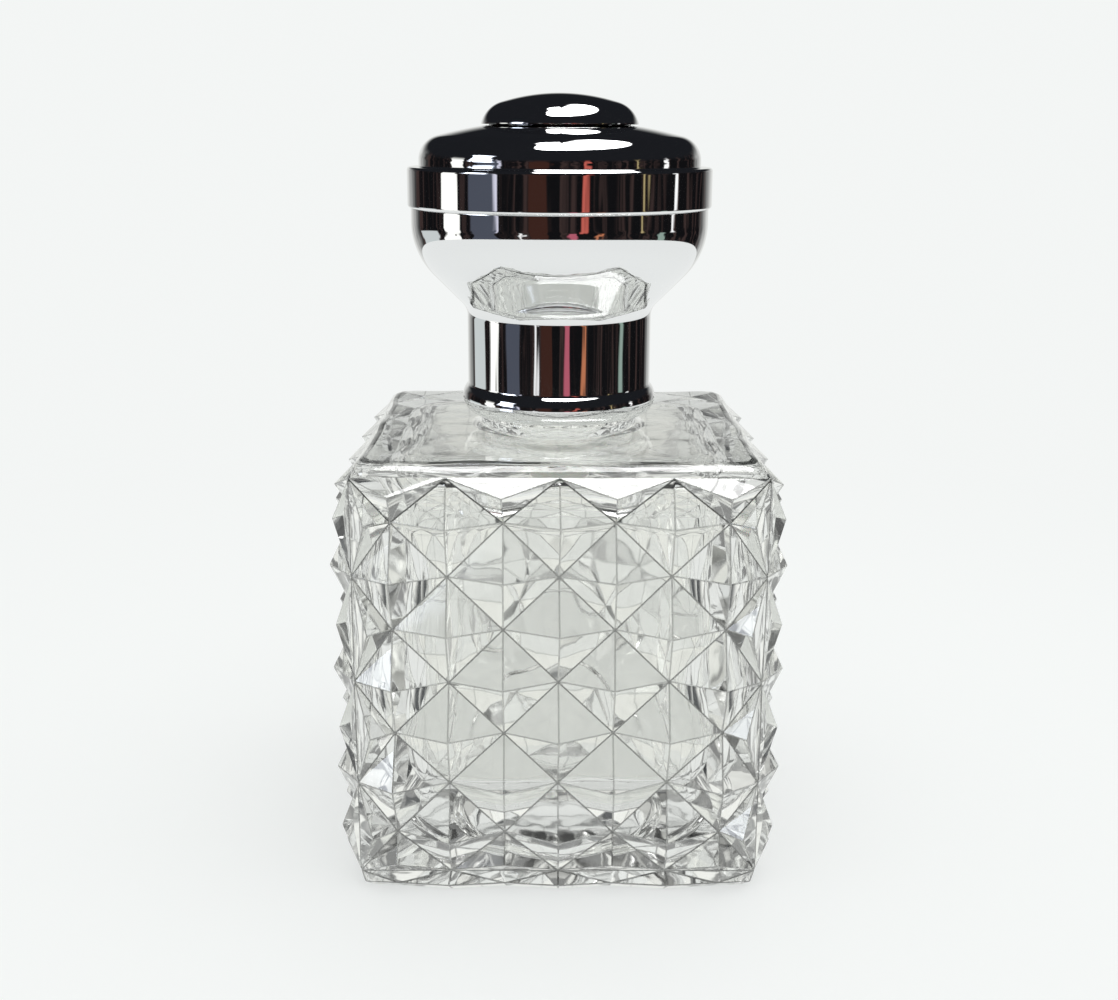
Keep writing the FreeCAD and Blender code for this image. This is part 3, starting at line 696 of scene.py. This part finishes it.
def glass_bottle():
    bm = bmesh.new()
    crease_shade = bm.faces.layers.float.new("crease_shade")
    vertex = jacket(bm)
    ridges = [edge for edge in bm.edges if not edge.is_boundary]
    base(bm, vertex)

    top_line = [(place, 0, PATTERN_TOP) for k, place in enumerate(COLUMNS) if k % 2 == 0]
    top = shoulder(bm, [vertex(point) for point in side_ring(top_line)], crease_shade)
    outline = neck_outline()
    neck = ring(bm, circle(*outline[0], LOOP))
    fill_between(bm, top, neck)
    neck = climb(bm, neck, [circle(radius, height, LOOP) for radius, height in outline[1:]])
    low, high = outline[-1][1], MOUTH - 1.0
    neck = climb(bm, neck, thread_levels(low, high))
    neck = climb(bm, neck, [circle(radius, height, LOOP) for radius, height in lip_outline(high)])
    cavity(bm, neck)

    soften_creases(bm, ridges, crease_shade)
    bottle = finish_mesh(bm, "glass_bottle_body", 60)
    weighted = bottle.modifiers.new("flat_facets", "WEIGHTED_NORMAL")
    weighted.keep_sharp = True
    weighted.weight = 80
    settle(bottle, "bottle", ["glass_bottle"], clear_glass())


# Cap ---------------------------------------------------------------------------------------------

def bowl_turn(radius, curve):
    """Where the bowl's rounded side meets its 45 degree cone, for the outside or the inside."""
    land = RIM - RIM_LAND
    return radius - curve * (1 - math.cos(math.pi / 4)), land - curve * math.sin(math.pi / 4)


def cap_bowl(material):
    turn = bowl_turn(BOWL_RADIUS, BOWL_ARC)
    inner_turn = bowl_turn(BOWL_RADIUS - SHELL_WALL, BOWL_ARC - SHELL_WALL)
    blend_radius = SKIRT_RADIUS + BOWL_BLEND * (1 - math.cos(math.pi / 4))
    blend_top = turn[1] - turn[0] + blend_radius
    blend_bottom = blend_top - BOWL_BLEND * math.sin(math.pi / 4)
    ledge = inner_turn[1] - inner_turn[0] + LEDGE_RADIUS
    bore = SKIRT_RADIUS - SHELL_WALL
    land = RIM - RIM_LAND
    outline = Outline(bore, CAP_BOTTOM, 0.25)
    outline.to(SKIRT_RADIUS - 0.5, CAP_BOTTOM, 0.15)
    outline.arc_to(BEAD_RADIUS, CAP_BOTTOM + BEAD_HEIGHT / 2, BEAD_CURVE, -1)
    outline.arc_to(SKIRT_RADIUS, CAP_BOTTOM + BEAD_HEIGHT, BEAD_CURVE, -1, ease=0.25)
    outline.to(SKIRT_RADIUS, blend_bottom)
    outline.arc_to(blend_radius, blend_top, BOWL_BLEND, 1)
    outline.to(*turn)
    outline.arc_to(BOWL_RADIUS, land, BOWL_ARC, -1, steps=32)
    outline.to(BOWL_RADIUS, RIM, 0.12)
    outline.to(BOWL_RADIUS - SHELL_WALL, RIM)
    outline.to(BOWL_RADIUS - SHELL_WALL, land)
    outline.arc_to(*inner_turn, BOWL_ARC - SHELL_WALL, 1)
    outline.to(LEDGE_RADIUS, ledge)
    outline.to(bore, ledge)
    bowl = turned("cap_bowl_shell", outline.done())
    settle(bowl, "cap", ["cap_bowl"], material)


def crown():
    """The dome's crown: where its edge rounding ends, and the height of its centre of curvature."""
    reach = DOME_RADIUS - DOME_EDGE
    lean = math.asin(reach / (CROWN_RADIUS - DOME_EDGE))
    start = RIM + BAND_HEIGHT + DOME_WALL + DOME_EDGE * math.cos(lean)
    return reach + DOME_EDGE * math.sin(lean), start, start - CROWN_RADIUS * math.cos(lean), lean


def seat_rim():
    return crown()[2] + math.sqrt(CROWN_RADIUS**2 - SEAT_RADIUS**2)


def cap_lid(material):
    band_top = RIM + BAND_HEIGHT
    crown_radius, crown_start, _, lean = crown()
    lip = BOWL_RADIUS - SHELL_WALL - 0.02
    seat = seat_rim() - SEAT_DEPTH
    inner_reach = DOME_RADIUS - DOME_EDGE
    inner_edge = DOME_EDGE - SHELL_WALL
    edge_start = band_top + DOME_WALL
    outline = Outline(lip - SHELL_WALL, RIM - LIP_DEPTH)
    outline.to(lip, RIM - LIP_DEPTH, 0.3)
    outline.to(lip, RIM)
    outline.to(BAND_RADIUS - BAND_EDGE, RIM)
    outline.arc_to(BAND_RADIUS, RIM + BAND_EDGE, BAND_EDGE, -1, steps=8)
    outline.to(BAND_RADIUS, band_top - BAND_EDGE)
    outline.arc_to(BAND_RADIUS - BAND_EDGE, band_top, BAND_EDGE, -1, steps=8)
    outline.to(DOME_RADIUS, band_top, 0.3)
    outline.to(DOME_RADIUS, edge_start)
    outline.arc_to(crown_radius, crown_start, DOME_EDGE, -1)
    outline.arc_to(SEAT_RADIUS, seat_rim(), CROWN_RADIUS, -1, ease=0.15)
    outline.to(SEAT_RADIUS, seat, 0.15)
    outline.to(3.1, seat)
    outline.to(3.1, seat - SHELL_WALL)
    outline.to(SEAT_RADIUS, seat - SHELL_WALL)
    outline.to(inner_reach + inner_edge * math.sin(lean), edge_start + inner_edge * math.cos(lean))
    outline.arc_to(DOME_RADIUS - SHELL_WALL, edge_start, inner_edge, 1)
    outline.to(DOME_RADIUS - SHELL_WALL, RIM + SHELL_WALL)
    outline.to(lip - SHELL_WALL, RIM + SHELL_WALL)
    lid = turned("cap_lid_shell", outline.done())
    settle(lid, "cap", ["cap_lid"], material)


def cap_knob(material):
    base = seat_rim() + KNOB_GAP
    top = base + KNOB_HEIGHT
    crown_end = top - KNOB_CROWN + math.sqrt(KNOB_CROWN**2 - KNOB_CROWN_REACH**2)
    seat = seat_rim() - SEAT_DEPTH
    collar = KNOB_RADIUS - COLLAR_INSET
    outline = Outline(0, top - 1.35).to(1.5, top - 1.35).to(1.5, seat - 1.1).to(3.0, seat - 1.1)
    outline.to(3.0, base + 1.3).to(collar - 1.4, base + 1.3).to(collar - 1.4, seat)
    outline.to(collar, seat).to(collar, base, 0.15).to(KNOB_RADIUS, base, 0.2)
    outline.arc_to(KNOB_CROWN_REACH, crown_end, KNOB_EDGE, -1)
    outline.arc_to(0, top, KNOB_CROWN, -1, steps=20)
    knob = turned("cap_knob_dome", outline.done(), closed=False)
    settle(knob, "cap", ["cap_knob"], material)


# Inner pieces ------------------------------------------------------------------------------------

def dress_nodes():
    """The plain inner pieces keep their CAD shape and get moulded, foamed or plated materials."""
    looks = {
        "threaded_closure": moulded_plastic("white_polypropylene", (0.88, 0.88, 0.86), 0.38, 0.1),
        "orifice_reducer": moulded_plastic("natural_polyethylene", (0.82, 0.83, 0.8), 0.42, 0.3),
        "liner_wad": moulded_plastic("white_foam", (0.9, 0.9, 0.88), 0.8),
        "liner_face": moulded_plastic("facing_film", (0.9, 0.9, 0.9), 0.25),
        "knob_washer": plated_steel("washer_zinc"),
        "knob_screw": plated_steel("screw_zinc"),
    }
    for name, material in looks.items():
        piece = frame["nodes"][name]
        piece.data.materials.clear()
        piece.data.materials.append(material)


# Studio ------------------------------------------------------------------------------------------

PALE = (0.9, 0.918, 0.91)          # the paper sweep, in linear light
TABLE = (0.3, 0.306, 0.303)
TABLE_GLOW = 0.66                  # of the sweep's brightness under the bottle, all of it farther out
SOFT_LIGHT = (0.75, 0.76, 0.755)
LAMPS = (12, 12, 12)
WINDOW = (5, 5.4, 6.2)

DARK_OVERHEAD = (0.012, 0.013, 0.016)
DARK_ROOM = (0.006, 0.006, 0.007)
ROOM_FOLDS = (0.05, 0.032, 0.03)   # curtains that hang in the dark, a little warmer
SWEEP_END = (0.8, 0.81, 0.79)      # the ends of the sweep, seen past the bottle's sides
ROOM_SWAY = 14                     # how far the upright things lean off their places, in degrees
FOLD_SCALE = 0.14                  # folds per degree
LEVEL = -7                         # the band mirrors what stands over this height, the skirt what is under
DOWN, UP = -90, 90

# The few things that stand in the dark room, seen from the bottle: azimuth of the middle (0 in front,
# 90 on the right), width, the heights between which each one shows, all in degrees, and its colour.
ROOM_PIECES = [
    (-120, 25, DOWN, LEVEL, (0.65, 0.7, 0.7)),      # pale card
    (-90, 15, DOWN, UP, (1.3, 1.3, 1.25)),          # tall white card
    (-60, 20, DOWN, UP, (0.08, 0.09, 0.12)),        # grey doorway
    (-50, 2, LEVEL, UP, (0.8, 0.8, 0.95)),          # its lit edge
    (-30, 2, DOWN, LEVEL, (1.2, 1.2, 1.2)),         # white post
    (-15, 15, DOWN, UP, (0.05, 0.02, 0.015)),       # dark red curtain
    (10, 7, DOWN, LEVEL, (0.5, 0.12, 0.17)),        # pink cloth
    (20, 4, LEVEL, UP, (0.6, 0.13, 0.1)),           # red post
    (30, 4, DOWN, LEVEL, (0.55, 0.2, 0.1)),         # orange post
    (65, 3, LEVEL, UP, (0.5, 0.4, 0.2)),            # brass post
    (85, 8, DOWN, LEVEL, (0.3, 0.4, 0.35)),         # green card
    (95, 4, LEVEL, UP, (1.2, 1.2, 1.2)),            # white post
]


def upright(tree, azimuth, height, middle, width, low, high):
    """1 where a thing stands in the room, with narrow soft edges."""
    aside = maths(tree, "ABSOLUTE", maths(tree, "SUBTRACT", azimuth, middle))
    across = soft_step(tree, aside, width / 2 + 1.2, width / 2 - 1.2)
    over = soft_step(tree, height, low - 0.4, low + 0.4)
    under = soft_step(tree, height, high + 0.4, high - 0.4)
    return maths(tree, "MULTIPLY", across, maths(tree, "MULTIPLY", over, under))


def degrees(tree, value):
    return maths(tree, "MULTIPLY", value, 180 / math.pi)


def mirrored_room(tree, azimuth, height):
    """A dark room past the pale sweep: a few upright things, a window and broad lamps overhead."""
    place = node(tree, "ShaderNodeTexCoord")
    sway = node(tree, "ShaderNodeTexNoise", Scale=9.0, Detail=1.0)
    tree.links.new(place.outputs["Generated"], sway.inputs["Vector"])
    sway = maths(tree, "MULTIPLY", maths(tree, "SUBTRACT", sway.outputs["Fac"], 0.5), ROOM_SWAY)
    azimuth = maths(tree, "ADD", azimuth, sway)
    folds = node(tree, "ShaderNodeTexNoise", noise_dimensions="1D", Scale=FOLD_SCALE, Detail=3.0)
    tree.links.new(azimuth, folds.inputs["W"])
    colour = blend(tree, soft_step(tree, folds.outputs["Fac"], 0.46, 0.68), DARK_ROOM, ROOM_FOLDS)
    behind = soft_step(tree, maths(tree, "ABSOLUTE", azimuth), 132, 166)
    colour = blend(tree, behind, colour, SWEEP_END)
    for *place, piece_colour in ROOM_PIECES:
        colour = blend(tree, upright(tree, azimuth, height, *place), colour, piece_colour)
    colour = blend(tree, soft_step(tree, height, 4, 16), colour, DARK_OVERHEAD)
    colour = blend(tree, soft_step(tree, height, -15, -19), colour, SOFT_LIGHT)
    window = maths(tree, "MULTIPLY", soft_step(tree, azimuth, -77, -73), soft_step(tree, azimuth, -55, -60))
    window = maths(tree, "MULTIPLY", window, soft_step(tree, height, 27, 22))
    window = maths(tree, "MULTIPLY", window, soft_step(tree, height, 2, 5))
    colour = blend(tree, window, colour, WINDOW)
    rise = maths(tree, "MULTIPLY", soft_step(tree, azimuth, -62, -18), 22)
    lamps = soft_step(tree, maths(tree, "ADD", height, rise), 79, 82)
    lamps = maths(tree, "MULTIPLY", lamps, soft_step(tree, azimuth, 172, 150))
    return blend(tree, lamps, colour, LAMPS)


def world():
    """A pale sweep behind the bottle, and round the camera the darker room that the plate mirrors."""
    studio = bpy.data.worlds.new("studio")
    bpy.context.scene.world = studio
    studio.use_nodes = True
    tree = studio.node_tree
    tree.nodes.clear()
    place = node(tree, "ShaderNodeTexCoord")
    split = node(tree, "ShaderNodeSeparateXYZ")
    tree.links.new(place.outputs["Generated"], split.inputs[0])
    ahead = maths(tree, "MULTIPLY", split.outputs["Y"], -1)
    azimuth = degrees(tree, maths(tree, "ARCTAN2", split.outputs["X"], ahead))
    height = degrees(tree, maths(tree, "ARCSINE", split.outputs["Z"]))

    room = mirrored_room(tree, azimuth, height)
    front = soft_step(tree, split.outputs["Y"], 0.45, -0.1)
    through = blend(tree, front, (1.0, 1.01, 0.98), (0.07, 0.075, 0.08))
    through = blend(tree, soft_step(tree, height, 15, 45), through, (0.05, 0.05, 0.05))
    through = blend(tree, soft_step(tree, height, 66, 72), through, (2.5, 2.5, 2.5))

    path = node(tree, "ShaderNodeLightPath")
    colour = blend(tree, path.outputs["Is Glossy Ray"], SOFT_LIGHT, room)
    colour = blend(tree, path.outputs["Is Transmission Ray"], colour, through)
    colour = blend(tree, path.outputs["Is Camera Ray"], colour, PALE)
    light = node(tree, "ShaderNodeBackground", Strength=1.0)
    tree.links.new(colour, light.inputs["Color"])
    out = node(tree, "ShaderNodeOutputWorld")
    tree.links.new(light.outputs[0], out.inputs["Surface"])


def floor():
    """A round pale table top. It glows as brightly as the sweep, so its edge is lost against it."""
    bm = bmesh.new()
    bm.faces.new(ring(bm, circle(FLOOR_RADIUS, -FLOOR_DROP, 96)))
    table = finish_mesh(bm, "studio_floor")
    material, tree, shader = new_material("pale_floor", Base_Color=(*TABLE, 1), Roughness=0.9)
    shader.inputs["Specular IOR Level"].default_value = 0
    shader.inputs["Emission Color"].default_value = (*PALE, 1)
    place = node(tree, "ShaderNodeTexCoord")
    length = node(tree, "ShaderNodeVectorMath", operation="LENGTH")
    tree.links.new(place.outputs["Object"], length.inputs[0])
    edge = soft_step(tree, length.outputs["Value"], 0.08, 0.3)
    tree.links.new(maths(tree, "ADD", TABLE_GLOW, maths(tree, "MULTIPLY", edge, 1 - TABLE_GLOW)),
                   shader.inputs["Emission Strength"])
    tree.links.new(blend(tree, edge, TABLE, (0, 0, 0)), shader.inputs["Base Color"])
    table.data.materials.append(material)


def soft_light(name, place, size, power):
    """A broad lamp that lights from a place toward the bottle, and is not itself mirrored."""
    light = bpy.data.lights.new(name, "AREA")
    light.shape = "RECTANGLE"
    light.size, light.size_y = size
    light.energy = power
    lamp = bpy.data.objects.new(name, light)
    lamp.location = place
    lamp.rotation_euler = (-Vector(place)).to_track_quat("-Z", "Y").to_euler()
    lamp.visible_glossy = False
    lamp.visible_transmission = False
    bpy.context.scene.collection.objects.link(lamp)


def camera():
    data = bpy.data.cameras.new("camera")
    data.sensor_width = 36
    data.lens = 45.72
    piece = bpy.data.objects.new("camera", data)
    aim = Euler((math.radians(90 - 14.78), 0, math.radians(-0.39))).to_matrix()
    piece.matrix_world = Matrix.Translation((-0.0015, -0.2364, 0.1187)) @ (
        aim @ Matrix.Rotation(math.radians(0.25), 3, "Z")).to_4x4()
    bpy.context.scene.collection.objects.link(piece)
    bpy.context.scene.camera = piece


def main():
    glass_bottle()
    plate = mirror_plate()
    cap_bowl(plate)
    cap_lid(plate)
    cap_knob(plate)
    dress_nodes()
    floor()
    world()
    soft_light("overhead", (0.15, -0.1, 0.9), (0.9, 0.9), 4)
    camera()
    bpy.context.scene.view_settings.view_transform = "Standard"


main()
